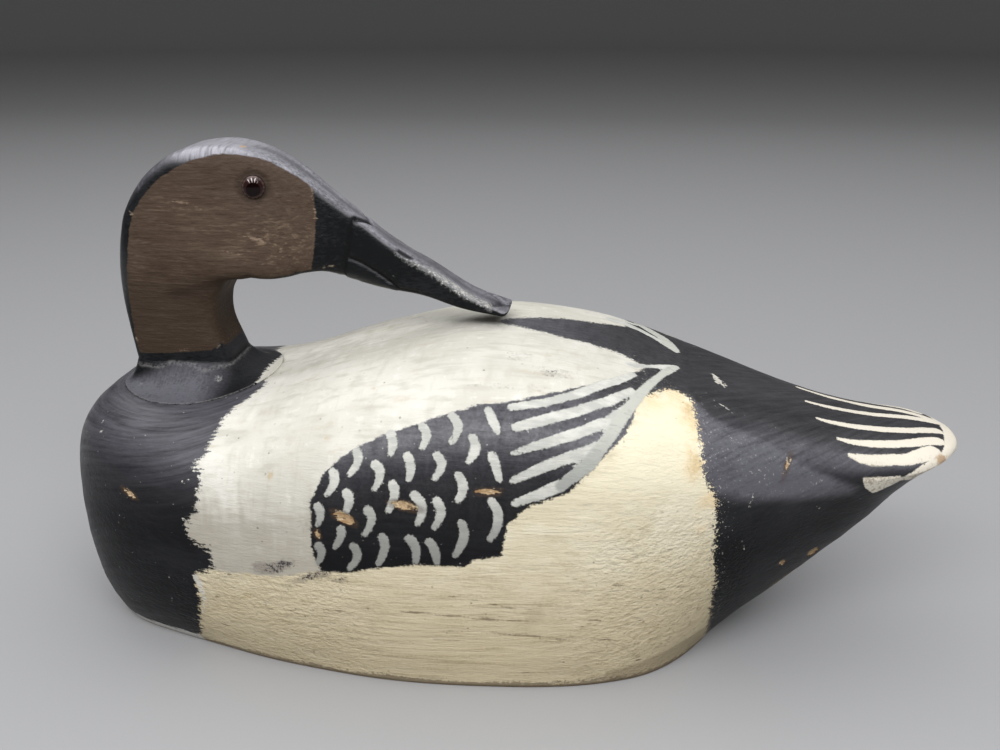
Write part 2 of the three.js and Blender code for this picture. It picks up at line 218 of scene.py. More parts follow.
# Side of the rump below the ridge that runs back to the tail, where the black is painted lighter as sheen
RUMP_SHEEN_SIDE = [
    (79, 36), (90.5, 46.5), (104.5, 46), (115.5, 45.5), (125.5, 48), (139.5, 49), (152, 51), (150, 56), (140, 61),
    (120, 70), (105, 78), (92, 82), (84, 76), (80, 56),
]
# Bevel along the bottom edge below the rump, painted darker as its shade
SHADED_BEVEL = [(50, 190), (60, 184), (73, 175), (92.5, 160), (112, 150), (130, 260), (45, 260)]


def along(points, place):
    """Smooth curve through (place, size) points, as cubics whose slope at a point is that of its two neighbours."""
    places, sizes = np.asarray(points, float).T
    slope = np.empty_like(sizes)
    slope[1:-1] = (sizes[2:] - sizes[:-2]) / (places[2:] - places[:-2])
    slope[0] = (sizes[1] - sizes[0]) / (places[1] - places[0])
    slope[-1] = (sizes[-1] - sizes[-2]) / (places[-1] - places[-2])
    place = np.clip(place, places[0], places[-1])
    i = np.clip(np.searchsorted(places, place, side="right") - 1, 0, len(places) - 2)
    span = places[i + 1] - places[i]
    t = (place - places[i]) / span
    return (
        (2 * t**3 - 3 * t**2 + 1) * sizes[i]
        + (t**3 - 2 * t**2 + t) * span * slope[i]
        + (3 * t**2 - 2 * t**3) * sizes[i + 1]
        + (t**3 - t**2) * span * slope[i + 1]
    )


def end_rounding(distance, reach, power):
    """0 at the very end of the block and 1 from the reach on: (1 - (1 - distance / reach)^power)^(1 / power)."""
    left = np.clip(1 - distance / reach, 0, 1)
    return (1 - left**power) ** (1 / power)


def smooth(value, low, high):
    """0 below low and 1 above high, level at both ends: t * t * (3 - 2 * t)."""
    t = np.clip((value - low) / (high - low), 0, 1)
    return t * t * (3 - 2 * t)


def blend_power(powers, x):
    body, tail, start, end = powers
    return body + (tail - body) * smooth(x, start, end)


def section(x):
    """Half width, widest height, rise above it, drop below it, and the three powers of the section at x."""
    rounding = end_rounding(x + HALF_LENGTH, *BREAST_ROUNDING) * end_rounding(HALF_LENGTH - x, *TAIL_ROUNDING)
    widest = along(WIDEST_HEIGHT, x)
    rise = (along(CREST_HEIGHT, x) - widest) * rounding
    drop = (widest - along(KEEL_HEIGHT, x)) * rounding
    powers = [blend_power(p, x) for p in (BACK_POWER, SIDE_POWER, EDGE_POWER)]
    return along(HALF_WIDTH, x) * rounding, widest, rise, drop, *powers


def back_height(x, y):
    """Height of the back at x, y: widest + rise * (1 - |y / half|^power)^(1 / power)."""
    half, widest, rise, _, power, _, _ = section(x)
    across = np.clip(np.abs(y / half), 0, 1)
    return widest + rise * (1 - across**power) ** (1 / power)


def spread_rows(columns, steps):
    """Each row of the given arrays is a line through space; its points are laid out again at even distances.

    Returns the arrays with steps + 1 columns, and the distance along the line at each point.
    """
    moves = sum(np.diff(c, axis=1) ** 2 for c in columns) ** 0.5
    way = np.concatenate([np.zeros((len(moves), 1)), np.cumsum(moves, 1)], 1)
    share = np.linspace(0, 1, steps + 1)
    rows = [[np.interp(share * w[-1], w, c[i]) for i, w in enumerate(way)] for c in columns]
    return [np.array(r) for r in rows], share * way[:, -1:]


def stations(count):
    """Places along x, so that neighbouring sections lie evenly far apart along the skin of the block."""
    share = np.linspace(0, 1, 6001)
    x = HALF_LENGTH * (0.45 * (2 * share - 1) - 0.55 * np.cos(np.pi * share))
    half, widest, rise, drop, *_ = section(x)
    spread = np.maximum(np.maximum(np.abs(np.diff(half)), np.abs(np.diff(widest + rise))), 0.6 * np.abs(np.diff(drop)))
    way = np.concatenate([[0], np.cumsum(np.hypot(np.diff(x), spread))])
    return np.interp(np.linspace(0, way[-1], count), way, x)


def half_sections(x, steps):
    """Left half sections at the stations x, from the crest down to the bottom edge, evenly spaced.

    Above the widest line y = half * cos(t)^(2 / back) and z = widest + rise * sin(t)^(2 / back). Below it
    y = half * cos(t)^(2 / side) and z = widest - drop * sin(t)^(2 / edge), as far as the angle where z is 0.
    Returns y, z and the girth.
    """
    half, widest, rise, drop, back, side, edge = (v[:, None] for v in section(x))
    t = np.linspace(0, np.pi / 2, 301)[None]
    cut = np.arcsin(np.clip(widest / np.maximum(drop, 1e-6), 0, 1) ** (edge / 2))
    low = cut * np.linspace(0, 1, 221)[None]
    wave = lambda f, angle, power: np.clip(f(angle), 0, 1) ** (2 / power)
    y = np.concatenate([(half * wave(np.cos, t, back))[:, ::-1], (half * wave(np.cos, low, side))[:, 1:]], 1)
    z = np.concatenate(
        [(widest + rise * wave(np.sin, t, back))[:, ::-1], (widest - drop * wave(np.sin, low, edge))[:, 1:]], 1
    )
    (y, z), girth = spread_rows([y, z], steps)
    return y, np.maximum(z, 0), girth


def stroke_depth(u, v, path):
    """How far inside a brush stroke each point lies. The path is points of u, v and half width, joined by straight
    pieces along which the half width runs evenly."""
    depth = np.full(u.shape, -60.0)
    for (u0, v0, r0), (u1, v1, r1) in zip(path, path[1:]):
        du, dv = u1 - u0, v1 - v0
        t = np.clip(((u - u0) * du + (v - v0) * dv) / (du * du + dv * dv), 0, 1)
        depth = np.maximum(depth, r0 + (r1 - r0) * t - np.hypot(u - u0 - t * du, v - v0 - t * dv))
    return depth


def line_distance(u, v, line, closed=False):
    """Distance to a line through the given points."""
    path = [(a, b, 0) for a, b in line]
    return -stroke_depth(u, v, path + path[:1] if closed else path)


def area_depth(u, v, outline):
    """How far inside a closed outline each point lies, negative outside."""
    inside = np.zeros(u.shape, bool)
    for (u0, v0), (u1, v1) in zip(outline, outline[1:] + outline[:1]):
        if v0 != v1:
            inside ^= ((v0 > v) != (v1 > v)) & (u < (u1 - u0) * (v - v0) / (v1 - v0) + u0)
    distance = line_distance(u, v, outline, closed=True)
    return np.where(inside, distance, -distance)


def curl(top, belly, foot):
    """A curved dab of the brush, broad at the top and narrower at the foot, from the three ends of its outline."""
    t = np.linspace(0.1, 0.9, 8)
    ends = [np.asarray(p, float) for p in (top, belly - np.array([1.3, 0.0]), foot)]
    middle = 2 * ends[1] - (ends[0] + ends[2]) / 2
    path = np.outer((1 - t) ** 2, ends[0]) + np.outer(2 * t * (1 - t), middle) + np.outer(t * t, ends[2])
    width = 1.75 + 0.45 * np.sin(np.pi * t) - 0.55 * t
    return [(a, b, r) for (a, b), r in zip(path, width)]


def scramble(a, b, seed):
    """An even pseudo-random number from 0 to 1 for each cell: the fraction of a large sine."""
    value = np.sin(a * 127.1 + b * 311.7 + seed * 74.7) * 43758.5453
    return value - np.floor(value)


def gouges(u, v, long, wide, seed):
    """Shallow tool marks: the squared distance to the nearest of one jittered centre per cell, so that hollows meet
    in soft ridges; 0 on a ridge and -1 at a centre."""
    a, b = u / long, v / wide
    cell_a, cell_b = np.floor(a), np.floor(b)
    nearest = np.full(u.shape, 9.0)
    for i in (-1, 0, 1):
        for j in (-1, 0, 1):
            ca, cb = cell_a + i, cell_b + j
            jitter_a = 0.15 + 0.7 * scramble(ca, cb, seed)
            jitter_b = 0.15 + 0.7 * scramble(ca, cb, seed + 5)
            nearest = np.minimum(nearest, (a - ca - jitter_a) ** 2 + (b - cb - jitter_b) ** 2)
    return np.clip(nearest / 0.7, 0, 1) - 1


def grid_normals(grid):
    """Unit normals of a grid of points whose columns close into rings, facing out."""
    around = np.roll(grid, -1, 1) - np.roll(grid, 1, 1)
    normal = np.cross(around, np.gradient(grid, axis=0))
    return normal / np.maximum(np.linalg.norm(normal, axis=2, keepdims=True), 1e-9)


def piece_from_grid(name, grid, material, **layers):
    """Closed mesh from a grid of points whose columns close into rings and whose end rings close to points.

    Points at the same place become one and empty faces are dropped. Each layer is a number per point."""
    rows, columns, _ = grid.shape
    number = np.arange(rows * columns).reshape(rows, columns)
    a, b = number[:-1], np.roll(number, -1, 1)[:-1]
    d, c = number[1:], np.roll(number, -1, 1)[1:]
    faces = np.concatenate([np.stack([a, b, c], -1).reshape(-1, 3), np.stack([a, c, d], -1).reshape(-1, 3)])
    points = grid.reshape(-1, 3)
    _, first, same = np.unique(np.round(points, 3), axis=0, return_index=True, return_inverse=True)
    faces = same.reshape(-1)[faces]
    whole = (faces[:, 0] != faces[:, 1]) & (faces[:, 1] != faces[:, 2]) & (faces[:, 2] != faces[:, 0])
    mesh = bpy.data.meshes.new(name)
    mesh.from_pydata((points[first] * MM).tolist(), [], faces[whole].tolist())
    mesh.polygons.foreach_set("use_smooth", np.ones(len(mesh.polygons), bool))
    for layer, values in layers.items():
        made = mesh.attributes.new(layer, "FLOAT", "POINT")
        made.data.foreach_set("value", values.reshape(-1)[first].astype(np.float32))
    mesh.materials.append(material)
    mesh.update()
    piece = bpy.data.objects.new(name, mesh)
    bpy.context.scene.collection.objects.link(piece)
    return piece


def chip_depth(x, girth, chip):
    """How far inside an oval chip each point lies, in mm."""
    cx, cg, long, wide, turn, _ = chip
    c, s = math.cos(math.radians(turn)), math.sin(math.radians(turn))
    u, v = (x - cx) * c + (girth - cg) * s, (girth - cg) * c - (x - cx) * s
    return (1 - np.hypot(u / long, v / wide)) * wide


def body_paint_layers(x, girth):
    """Depth inside each painted area at x and signed girth, left positive."""
    across = np.abs(girth)
    far = girth < 0
    # The far side is the same pattern painted by hand again.
    px = x + np.where(far, 1.6 * np.sin(across / 15 + 1) + 1.1 * np.sin(x / 23), 0)
    pg = across + np.where(far, 1.8 * np.sin(x / 27 + 0.6) + 0.8 * np.sin(across / 9), 0)
    back_from_edge = np.where(far, 9 * (1 - smooth(across, 25, 60)) * smooth(across, 0, 6), 0)
    breast = area_depth(px + back_from_edge, pg, [(-260, -60), (-109.5, -60), *BREAST_EDGE, (-136, 260), (-260, 260)])
    point_of = lambda point: area_depth(x, across, [(-4, -60), *point, (94, 260), (260, 260), (260, -60)])
    far_edge = [(u, v + 6) for u, v in RUMP_EDGE]
    rump = np.where(far, point_of(FAR_BACK_POINT + far_edge), point_of(BACK_POINT + RUMP_EDGE))
    wing = area_depth(px, pg, WING_OUTLINE)
    flank = area_depth(px, pg, FLANK_OUTLINE)
    strokes = [curl(*f) for f in FEATHERS] + WING_STRIPES
    far_band = np.maximum(stroke_depth(px, pg, WING_BAND[:5]), stroke_depth(x, across, [(60, 43, 3.4), *FAR_BAND_END]))
    band = np.where(far, far_band, stroke_depth(px, pg, WING_BAND))
    feathers = np.maximum(np.max([stroke_depth(px, pg, s) for s in strokes], 0), band)
    feathers = np.minimum(feathers, -stroke_depth(px, pg, BAND_GAP))
    tip = np.maximum(stroke_depth(x, girth, WING_TIP), stroke_depth(x, girth, FAR_TIP))
    signed = [stroke_depth(x, girth, s) for s in TAIL_STRIPES]
    patch = np.maximum(area_depth(x, girth, TAIL_PATCH), area_depth(x, -girth, TAIL_PATCH))
    end = area_depth(x, girth, [*TAIL_TIP_INNER, (215, -60), (215, 60)])
    pale = np.max([feathers, tip, patch, end, *signed], 0)
    chips = np.max([chip_depth(x, girth, c) for c in CHIPS], 0)
    spots = lambda marks: sum(
        s * np.exp(-(((x - cx) / lx) ** 2) - (((girth - cg) / lg) ** 2)) for cx, cg, lx, lg, s in marks
    )
    foot = np.hypot(x - SEAT_X, 0.9 * girth)
    round_foot = np.arctan2(girth, SEAT_X - x)
    return dict(
        breast=breast, rump=rump, wing=wing, flank=flank, pale=pale, band=band, chips=chips,
        dirt=spots(SMUDGES), tan=spots(TAN_SPOTS), nicks=np.max([stroke_depth(x, girth, n) for n in NICKS], 0),
        grain=np.max([stroke_depth(x, girth, g) for g in GRAIN_LINES], 0),
        bevel=area_depth(x, across, SHADED_BEVEL), foot=foot, round_foot=round_foot, girth=girth,
    )


BODY_STATIONS = 322
BODY_STEPS = 128
UNDERSIDE_STEPS = 18


def make_body(material):
    """The block: left half sections, the flat underside, and the mirrored half sections as rings along x, pushed in
    along the normals by gouge marks, chips and the groove round the foot of the head."""
    x = stations(BODY_STATIONS)
    y, z, girth = half_sections(x, BODY_STEPS)
    shares = np.linspace(-1, 1, UNDERSIDE_STEPS + 1)[1:-1]
    ring_y = np.concatenate([-y, y[:, -1:] * shares, y[:, :0:-1]], 1)
    ring_z = np.concatenate([z, np.repeat(z[:, -1:], len(shares), 1), z[:, :0:-1]], 1)
    ring_x = np.repeat(x[:, None], ring_y.shape[1], 1)
    below = girth[:, -1:] + np.minimum(1 + shares, 1 - shares) * y[:, -1:]
    ring_girth = np.concatenate([girth, np.where(shares < 0, below, -below), -girth[:, :0:-1]], 1)
    grid = np.stack([ring_x, ring_y, ring_z], -1)
    layers = body_paint_layers(ring_x, ring_girth)
    push = 0.32 * gouges(ring_x, ring_girth, 44, 17, 3) + 0.12 * gouges(ring_x, ring_girth, 15, 8, 8)
    for chip in CHIPS:
        push -= chip[5] * smooth(chip_depth(ring_x, ring_girth, chip), -0.5, 0.9)
    oval = np.hypot((ring_x - SEAT_X) / SEAT_HALF_LENGTH, ring_y / SEAT_HALF_WIDTH)
    on_top = ring_z > 90
    push -= np.where(on_top, 1.7 * smooth(-oval, -1.012, -0.975), 0)
    # Dust and painted sheen: the black is made lighter where it faces up, less so on the top of the rump, and lighter
    # still as painted sheen on the side of the rump below its ridge
    up = grid_normals(grid)[..., 2]
    top_of_rump = smooth(ring_x, 0, 60) * smooth(up, 0.78, 0.92)
    side = smooth(area_depth(ring_x, np.abs(ring_girth), RUMP_SHEEN_SIDE), -2.5, 4.5)
    layers["dust"] = np.maximum(0.62 * smooth(up, -0.05, 0.75) * (1 - 0.75 * top_of_rump), side)
    room = smooth(ring_z, 0.5, 6) * smooth(HALF_LENGTH - np.abs(ring_x), 0, 4)
    grid += grid_normals(grid) * (push * room)[..., None]
    grid[..., 2] = np.maximum(grid[..., 2], 0)
    return piece_from_grid("carved_body", grid, material, **layers)


def head_rings(place):
    """Ring sizes at places along the ribs: outer and inner profile points, half thickness and squareness."""
    columns = np.asarray(RIBS, float).T
    ribs = np.arange(len(RIBS))
    return [along(np.stack([ribs, c], 1), place)[:, None] for c in columns]


def superellipse(angle, power):
    """Points of a rounded square by direction: each lies at (|cos|^power + |sin|^power)^(-1 / power)."""
    c, s = np.cos(angle), np.sin(angle)
    reach = (np.abs(c) ** power + np.abs(s) ** power) ** (-1 / power)
    return reach * c, reach * s


HEAD_SIDES = 168
HEAD_STATIONS = 340
FLARE_STATIONS = 26

# Paint and carving on the head, in x and z
BROWN_OUTLINE = [
    (-168, 126.1), (-168.8, 131.9), (-169.6, 141.4), (-169.8, 150.9), (-169.1, 160.5), (-167.4, 170.1),
    (-164.2, 184), (-161.3, 192.1), (-157.3, 197.4), (-152.2, 203.1), (-147.5, 207.6), (-140.5, 211.4),
    (-133.9, 214.7), (-125.5, 216.7), (-119.3, 217.4), (-113.3, 217), (-107.3, 215.6), (-101.3, 213.4),
    (-95.3, 209.9), (-90.1, 206.8), (-86.1, 203.7), (-83.9, 201.2), (-82.8, 190.5), (-83.6, 179.6),
    (-84.6, 173.1), (-85.6, 166.4), (-92, 165.4), (-98, 163.9), (-104, 163.1), (-112, 163), (-113, 131.5),
    (-124, 130.2), (-127.2, 129.8), (-129.7, 131.5), (-132.9, 128.7), (-138.5, 128.2), (-152.7, 126.7),
]
BILL_BASE = [(-64.8, 190), (-67.6, 187), (-69.3, 179.3), (-70.5, 172.6), (-72.7, 162.4)]
MANDIBLE_LINE = [(-69.1, 171.2), (-63.9, 169), (-58.2, 165.5), (-52.5, 161.5), (-47.4, 157.4), (-39.1, 156.3)]
MANDIBLE_RIDGE = [(-70.5, 169.2), (-65.7, 167.2), (-60.5, 164), (-54.8, 160.2), (-49.5, 156.6)]
NOSTRIL = [(-47.2, 174.6, 0.9), (-44.6, 173.2, 1.2), (-42, 171.6, 0.8)]
JAW_HOLLOW = [(-113, 163), (-118.5, 162), (-128.6, 158.6), (-135.5, 156.6), (-148, 153.6)]
BILL_WEAR = [
    (-48.5, 173, 0.9), (-42, 169.7, 1.0), (-34, 166.2, 1.7), (-25.2, 161.2, 2.1), (-16.2, 155.7, 2.3), (-1.1, 150.2, 2.6),
]
TIP_GOUGES = [[(-10, 9, 0.9), (-5.5, 7, 1.2), (-2, 2, 0.9)], [(-7, -9, 0.7), (-3.5, -3, 1.1), (-2, 2, 0.9), (3, 3, 1)]]
SCUFFS = [
    [(-143.6, 197.9, 0.5), (-138, 196.4, 1.1), (-130.7, 194.6, 0.5)], [(-114.1, 183.1, 0.5), (-105, 180.8, 0.8)],
    [(-102.6, 178.5, 0.4), (-98, 175.6, 0.9), (-95.9, 173.8, 0.5)], [(-141.5, 209.2, 0.9), (-139.8, 207.6, 0.6)],
    [(-84.3, 202, 0.35), (-83.3, 192, 0.5), (-84.6, 176, 0.35)], [(-129, 131.4, 0.6), (-131.6, 127.4, 0.7)],
    [(-163.4, 192.4, 0.5), (-162.4, 191.2, 0.6)], [(-168.6, 133, 0.6), (-168, 131, 0.7)],
    [(-150, 127.8, 0.5), (-138, 129, 0.5)], [(-80.6, 167.4, 0.5), (-76.6, 167, 0.7)],
    [(-122, 176, 0.3), (-112, 174.6, 0.5)], [(-150, 187.6, 0.3), (-141, 187, 0.4)],
]
CROWN_CHIP = (-114.6, -7.2, 2.4, 1.3, 70, 0)
# Pale specks on the foot, in x and y
FOOT_SPECKS = [(-165.2, -23.2), (-128.6, -22.1), (-120, 22), (-150, 28)]
# Half thickness of the head along x, as the ribs have it
HEAD_HALF = [(-175, 19), (-150, 21.7), (-124.5, 19.5), (-107.7, 16), (-94, 12.6), (-80, 10), (-60, 8.4), (-32, 9), (0, 12.4)]


def make_head(material):
    """Foot, neck, head and bill as rings along the ribs.

    The foot runs from its oval rim, flush with the back, up to the neck: across by an even share and up by that share
    to the power 2.2. Each later ring is a rounded square between the outer and the inner profile. The skin is pushed
    in by gouge marks and by the carved lines of the bill.
    """
    place = np.linspace(0, len(RIBS) - 1, HEAD_STATIONS)
    outer_x, outer_z, inner_x, inner_z, half, power = head_rings(place)
    angle = np.linspace(0, 2 * np.pi, 721)[None]
    reach, side = superellipse(angle, power)
    x = (outer_x + inner_x) / 2 + reach * (outer_x - inner_x) / 2
    z = (outer_z + inner_z) / 2 + reach * (outer_z - inner_z) / 2
    (x, y, z), _ = spread_rows([x, -half * side, z], HEAD_SIDES)
    x, y, z = x[:, :-1], y[:, :-1], z[:, :-1]

    turn = np.arctan2(-y[0] / SEAT_HALF_WIDTH, -(x[0] - SEAT_X) / SEAT_HALF_LENGTH)
    rim_x = SEAT_X - SEAT_HALF_LENGTH * np.cos(turn)
    rim_y = -SEAT_HALF_WIDTH * np.sin(turn)
    rim_z = back_height(rim_x, rim_y) - 0.1
    share = np.linspace(0, 1, FLARE_STATIONS + 1)[:-1, None]
    flare = np.stack(
        [rim_x + (x[0] - rim_x) * share, rim_y + (y[0] - rim_y) * share, rim_z + (z[0] - rim_z) * share**2.2], -1
    )
    base = np.stack([rim_x, rim_y, rim_z - 1.1], -1)[None]
    base_middle = np.zeros_like(base) + [SEAT_X, 0, float(np.mean(rim_z)) - 1.1]
    turns = np.linspace(0, np.pi / 2, 7)[1:, None]
    shrink = np.cos(turns) ** 0.5
    shrink[-1] = 0
    middle = np.array([x[-1].mean(), 0, z[-1].mean()])
    last = np.stack([x[-1], y[-1], z[-1]], -1)
    end = middle + (last - middle)[None] * shrink[..., None]
    end[..., 0] += BILL_END_REACH * np.sin(turns)
    grid = np.concatenate([base_middle, base, flare, np.stack([x, y, z], -1), end])

    gx, gy, gz = (grid[..., i] for i in range(3))
    bill = smooth(gx, -74, -66) * (gz > 140)
    flat_side = smooth(np.abs(gy), 4, 7)
    groove_at = lambda line, wide: np.exp(-((line_distance(gx, gz, line) / wide) ** 2)) * flat_side
    push = 0.22 * gouges(gz, gx + 0.4 * gy, 26, 15, 6) * (1 - 0.6 * bill)
    push -= 0.6 * groove_at(BILL_BASE, 0.9)
    push -= 0.2 * smooth(gx, -70.5, -67) * (1 - smooth(gx, -60, -40)) * flat_side * (gz > 160)
    notch = line_distance(gx, np.abs(gy), [(-66, 7.4), (-63.9, 4.7), (-60.4, 0)])
    notch = np.exp(-((notch / 0.9) ** 2)) * (gz > 182) * (gx < -55)
    push -= 1.3 * notch
    push += 0.2 * groove_at(MANDIBLE_RIDGE, 0.9) - 0.7 * groove_at(MANDIBLE_LINE, 0.9)
    nostril = smooth(stroke_depth(gx, gz, NOSTRIL), -0.7, 0.5) * smooth(np.abs(gy), 5, 6.2)
    push -= 0.5 * nostril
    push += BILL_CREST * smooth(grid_normals(grid)[..., 2], 0.4, 0.8) * smooth(gx, -60, -46) * (1 - smooth(gx, -40, -3)) * (gz > 148)
    push -= 0.7 * groove_at(JAW_HOLLOW, 3.2)
    gouge = np.max([stroke_depth(gx, gy, s) for s in TIP_GOUGES], 0)
    push -= 1.0 * smooth(gouge, -0.9, 0.6) * (gz > 148.5)
    eye = np.hypot(gx - EYE_X, gz - EYE_Z)
    push -= 0.55 * np.exp(-(((eye - 5.6) / 1.3) ** 2)) * (np.abs(gy) > 12)
    room = np.ones(grid.shape[:2])
    room[:3] = 0
    room[-1] = 0
    grid = grid + grid_normals(grid) * (push * room)[..., None]

    up = grid_normals(grid)[..., 2]
    share = np.abs(gy) / along(HEAD_HALF, gx)
    foot = (gz < 124) * (0.06 + 0.98 * (1 - smooth(gx, -140, -121)))
    # Dust and painted sheen: lighter where the foot, head and bill face up
    dust = np.where(gz < 124, foot * smooth(up, 0.42, 0.94), (0.85 - 0.5 * smooth(gx, -14, -4)) * smooth(up, 0.25, 0.7))
    # Painted highlights: a light line round the rim of the foot where it meets the back, and along the crisp edge where
    # the foot turns up into the neck
    seam = np.zeros(grid.shape[:2])
    seam[2:4] = [[1], [0.6]]
    lip = 0.93 - 0.05 * np.sin(gx / 4.5) - 0.02 * np.sin(gx / 1.7)
    seam[2 : FLARE_STATIONS + 3] += np.exp(-(((np.linspace(0, 1, FLARE_STATIONS + 1)[:, None] - lip[2 : FLARE_STATIONS + 3]) / 0.035) ** 2))
    sheen = smooth(up, 0.45, 0.75) * smooth(share, 0.02, 0.4) * smooth(gx, -122, -112) * (1 - 0.3 * smooth(gx, -84, -66))
    specks = np.max([0.7 - np.hypot(gx - sx, gy - sy) for sx, sy in FOOT_SPECKS], 0) - 9 * (gz > 124)
    crown_chip = chip_depth(gx, gy, CROWN_CHIP) - 9 * (gz < 205)
    bare = stroke_depth(gx, gz, BILL_WEAR) - 3 * (1 - smooth(-np.sign(gy) * share, 0.3, 0.7)) - 2 * smooth(gx, -7, -4)
    layers = dict(
        brown=area_depth(gx, gz, BROWN_OUTLINE),
        # Painted shade, nearly black, in the carved grooves, the notch, the nostril and the tip gouges
        groove=np.maximum.reduce(
            [groove_at(BILL_BASE, 0.8) * 0.6, notch, groove_at(MANDIBLE_LINE, 0.8), nostril, smooth(gouge, -0.3, 0.6) * 0.5]
        ),
        # Painted shade in the jaw hollow and in a ring round the eye
        hollow=np.maximum(groove_at(JAW_HOLLOW, 3.2), np.exp(-(((eye - 6) / 1.6) ** 2))),
        scuffs=np.max([stroke_depth(gx, gz, s) for s in SCUFFS], 0),
        wear=np.maximum(bare, specks + 0.6),
        dust=dust,
        seam=seam,
        sheen=sheen * (gz > 148),
        chip=crown_chip,
        tan=np.exp(-(((gx + 101) / 15) ** 2) - ((gz - 179) / 9) ** 2) + 0.7 * np.exp(-(((gx + 140) / 13) ** 2) - ((gz - 195) / 4) ** 2),
        rim=share,
    )
    return piece_from_grid("carved_head", grid, material, **layers)


def make_eye(name, side, material):
    """A glass eye as rings about its axis, which looks out of the cheek and slightly towards the bill: a flat back,
    a short wall with a small round edge, and a domed face whose height is dome * sin(t) where its radius is
    radius * cos(t). Each point keeps its distance from the axis as a layer, and its height above the middle."""
    t = np.linspace(0, np.pi / 2, 17)[1:]
    dome_radius = EYE_RADIUS * np.cos(t)
    dome_radius[-1] = 0
    radius = np.concatenate([np.array([0, 0.5, 0.97, 1, 1, 1]) * EYE_RADIUS, dome_radius])[:, None]
    wall = [0, 0, 0, 0.1, EYE_DEPTH, EYE_DEPTH + EYE_EDGE]
    height = np.concatenate([wall, EYE_DEPTH + EYE_EDGE + EYE_DOME * np.sin(t)])[:, None] - EYE_DEPTH
    turn = np.linspace(0, 2 * np.pi, 72, endpoint=False)[None] * side
    across, up = radius * np.cos(turn), radius * np.sin(turn)
    c, s = math.cos(EYE_TURN), math.sin(EYE_TURN)
    grid = np.stack(
        [EYE_X + across * c + height * s, side * (CHEEK_AT_EYE + height * c - across * s), EYE_Z + up], -1
    )
    spread = np.repeat(radius, turn.size, 1)
    return piece_from_grid(
        name, grid, material, spread=spread, across=across, up=up, pupil=np.hypot(across, up + PUPIL_DROP)
    )


class Paint:
    """A value in a material's nodes. Arithmetic on it adds Math nodes; node() adds any other node."""

    def __init__(self, tree, socket=None):
        self.tree, self.socket = tree, socket

    def node(self, kind, settings=None, inputs=None, out=0):
        made = self.tree.nodes.new(kind)
        for name, value in (settings or {}).items():
            if name == "stops":
                while len(made.color_ramp.elements) < len(value):
                    made.color_ramp.elements.new(1)
                for element, (position, colour) in zip(made.color_ramp.elements, value):
                    element.position, element.color = position, (*colour, 1)
            else:
                setattr(made, name, value)
        for key, value in (inputs or {}).items():
            if isinstance(value, Paint):
                self.tree.links.new(value.socket, made.inputs[key])
            else:
                made.inputs[key].default_value = value
        return Paint(self.tree, made.outputs[out])

    def math(self, operation, *values):
        return self.node("ShaderNodeMath", {"operation": operation}, dict(enumerate(values)))

    def __add__(self, other):
        return self.math("ADD", self, other)

    def __sub__(self, other):
        return self.math("SUBTRACT", self, other)

    def __rsub__(self, other):
        return self.math("SUBTRACT", other, self)

    def __mul__(self, other):
        return self.math("MULTIPLY", self, other)

    __radd__ = __add__
    __rmul__ = __mul__

    def at_most(self, other):
        return self.math("MINIMUM", self, other)

    def at_least(self, other):
        return self.math("MAXIMUM", self, other)

    def step(self, low, high):
        """0 below low, 1 above high, smooth between."""
        return self.node(
            "ShaderNodeMapRange", {"interpolation_type": "SMOOTHSTEP"}, {0: self, 1: low, 2: high, 3: 0.0, 4: 1.0}
        )

    def layer(self, name):
        return self.node("ShaderNodeAttribute", {"attribute_name": name}, out="Fac")

    def place(self):
        return self.node("ShaderNodeTexCoord", out="Object")

    def axis(self, which):
        return self.node("ShaderNodeSeparateXYZ", inputs={0: self.place()}, out=which)

    def noise(self, waves, detail=3.0, rough=0.55, shift=0.0, warp=0.0, at=None):
        """Noise about 0, mostly from -0.5 to 0.5, with the given waves per metre along x, y and z."""
        moved = self.node("ShaderNodeMapping", inputs={0: at or self.place(), 1: (shift, shift, shift), 3: waves})
        made = self.node(
            "ShaderNodeTexNoise", inputs={0: moved, "Scale": 1.0, "Detail": detail, "Roughness": rough, "Distortion": warp}
        )
        return (made - 0.5) * 2

    def specks(self, density, size, shift=0.0):
        """1 inside scattered round specks: density cells per metre, size as a share of a cell."""
        moved = self.node("ShaderNodeMapping", inputs={0: self.place(), 1: (shift, shift, shift)})
        cells = self.node("ShaderNodeTexVoronoi", inputs={0: moved, "Scale": density}, out="Distance")
        return 1 - cells.step(size * 0.6, size)

    def mix(self, share, a, b):
        """The colour a, changed to b by the share."""
        colour = lambda c: c if isinstance(c, Paint) else (*c, 1.0)
        return self.node("ShaderNodeMix", {"data_type": "RGBA"}, {0: share, 6: colour(a), 7: colour(b)}, out=2)

    def bump(self, height, distance, strength=1.0, under=None):
        inputs = {"Height": height, "Distance": distance, "Strength": strength}
        if under is not None:
            inputs["Normal"] = under
        return self.node("ShaderNodeBump", inputs=inputs, out="Normal")


def new_material(name):
    """An empty material with its shader; returns the material, its Paint and the shader node."""
    material = bpy.data.materials.new(name)
    material.use_nodes = True
    tree = material.node_tree
    shader = next(n for n in tree.nodes if n.type == "BSDF_PRINCIPLED")
    return material, Paint(tree), shader


def connect(paint, shader, **inputs):
    """Feeds the shader's sockets: links what varies and sets what doesn't."""
    for name, value in inputs.items():
        socket = shader.inputs[name.replace("_", " ")]
        if isinstance(value, Paint):
            paint.tree.links.new(value.socket, socket)
        else:
            socket.default_value = value


